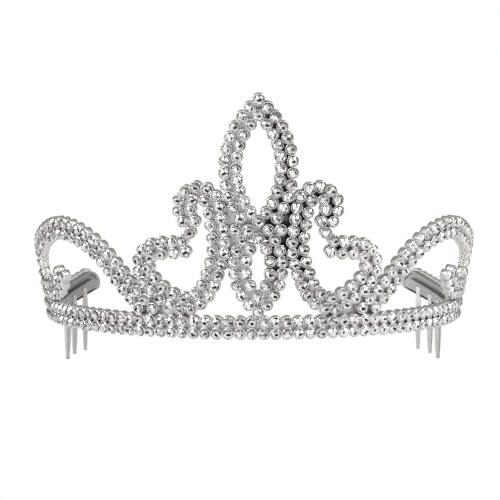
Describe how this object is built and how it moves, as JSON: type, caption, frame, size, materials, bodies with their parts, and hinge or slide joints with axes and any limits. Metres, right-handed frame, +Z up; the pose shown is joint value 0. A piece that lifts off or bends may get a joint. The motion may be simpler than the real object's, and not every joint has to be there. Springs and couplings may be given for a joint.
{
  "type": "tiara",
  "caption": "Open silver tiara of double stone-set strips: a band with a fleur-de-lis, two scrolls, two side loops, and a hair comb at each rear end.",
  "frame": {"origin": "centre of the head circle, level with the lower edge of the band at the front", "axes": "+Z up, -Y towards the front of the tiara, +X towards the wearer's left"},
  "size_m": [0.1322, 0.1132, 0.0863],
  "materials": {
    "silver_setting": "bright plated metal",
    "comb_metal": "satin plated metal",
    "stone": "foil-backed faceted glass, opaque"
  },
  "bodies": {
    "root": {"base_band": "silver_setting", "upper_petal": "silver_setting", "lower_petal": "silver_setting", "fleur_binding": "silver_setting", "scroll_left": "silver_setting", "scroll_right": "silver_setting", "loop_left": "silver_setting", "loop_right": "silver_setting", "fleur_back_plate": "silver_setting", "foot_plate_left": "silver_setting", "foot_plate_right": "silver_setting", "comb_seat_left": "silver_setting", "comb_seat_right": "silver_setting", "comb_left": "comb_metal", "comb_right": "comb_metal", "band_upper_stones": "stone", "band_lower_stones": "stone", "upper_petal_outer_stones": "stone", "upper_petal_inner_stones": "stone", "lower_petal_outer_stones": "stone", "lower_petal_inner_stones": "stone", "binding_stones": "stone", "scroll_left_outer_stones": "stone", "scroll_left_inner_stones": "stone", "scroll_right_outer_stones": "stone", "scroll_right_inner_stones": "stone", "loop_left_outer_stones": "stone", "loop_left_inner_stones": "stone", "loop_right_outer_stones": "stone", "loop_right_inner_stones": "stone"}
  },
  "joints": []
}
